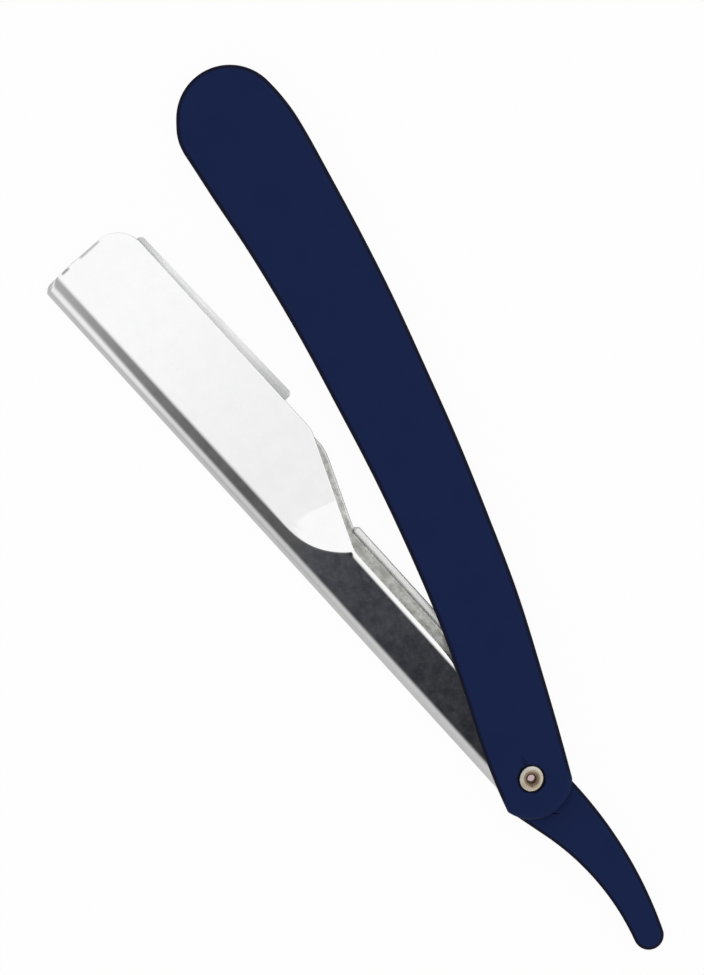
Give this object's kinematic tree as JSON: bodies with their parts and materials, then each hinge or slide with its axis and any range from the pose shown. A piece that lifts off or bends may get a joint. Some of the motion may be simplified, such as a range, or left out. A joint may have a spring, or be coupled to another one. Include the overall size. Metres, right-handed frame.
{
  "type": "straight razor",
  "caption": "Folding barber's razor with dark blue moulded scales on a hollow eyelet, a folded steel blade arm, a swing-out carrier for a half blade, and a curved tail.",
  "frame": {"origin": "on the axis of the hollow eyelet, midway between the two scales", "axes": "+X along the handle from the eyelet to its far end, +Y towards the side that the blade opens from, +Z out of the front scale"},
  "size_m": [0.1691, 0.0542, 0.0096],
  "materials": {
    "scale_plastic": "fine matte moulded navy plastic",
    "eyelet_brass": "bright pale brass",
    "washer_brass": "plain brass sheet",
    "polished_steel": "mirror polished stainless sheet",
    "dull_steel": "tumbled stainless sheet",
    "blade_steel": "satin hardened strip"
  },
  "bodies": {
    "handle": {"front_scale": "scale_plastic", "back_scale": "scale_plastic", "end_wedge": "scale_plastic", "pivot_eyelet": "eyelet_brass", "eyelet_washer": "eyelet_brass", "front_pivot_washer": "washer_brass", "back_pivot_washer": "washer_brass"},
    "arm": {"blade_arm": "polished_steel", "tail": "scale_plastic", "tail_rivets": "polished_steel"},
    "carrier": {"blade_carrier": "dull_steel", "blade_studs": "dull_steel"},
    "blade": {"razor_blade": "blade_steel"}
  },
  "joints": [
    {"name": "fold", "type": "hinge", "parent": "handle", "child": "arm", "pos_m": [0, 0, 0], "axis": [0, 0, 1], "range_deg": [-14.9, 222.1]},
    {"name": "carrier_swing", "type": "hinge", "parent": "arm", "child": "carrier", "pos_m": [0, 0, 0], "axis": [0, 0, -1], "range_deg": [0, 45]},
    {"name": "blade_slide", "type": "slide", "parent": "carrier", "child": "blade", "axis": [0.3289, -0.9444, 0], "range_m": [0, 0.014]}
  ]
}
